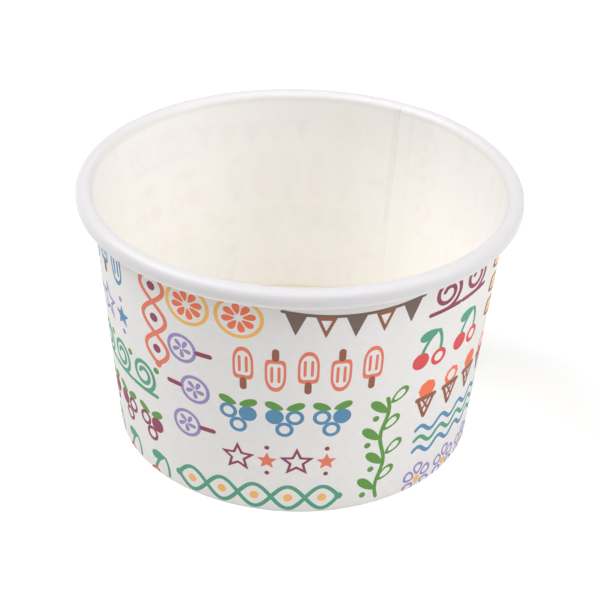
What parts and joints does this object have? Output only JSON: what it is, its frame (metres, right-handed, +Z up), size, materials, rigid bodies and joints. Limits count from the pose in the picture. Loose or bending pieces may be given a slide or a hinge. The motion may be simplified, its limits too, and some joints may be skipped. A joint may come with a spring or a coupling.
{
  "type": "paper dessert cup",
  "caption": "Round paper cup for desserts: a leaning printed wall with a rolled rim, lap seam and hemmed foot, and a base disc pinched inside the foot.",
  "frame": {"origin": "centre of the foot ring, on the plane the cup stands on", "axes": "+Z up along the cup's axis, -Y the front that faces the viewer, +X to the viewer's right; the side seam is at the back right"},
  "size_m": [0.085, 0.085, 0.0522],
  "materials": {
    "wall_board": "matt white cupboard, food side with a thin satin coating",
    "base_board": "matt white cupboard, food side with a thin satin coating"
  },
  "bodies": {
    "root": {"side_wall": "wall_board", "base_disc": "base_board"}
  },
  "joints": []
}
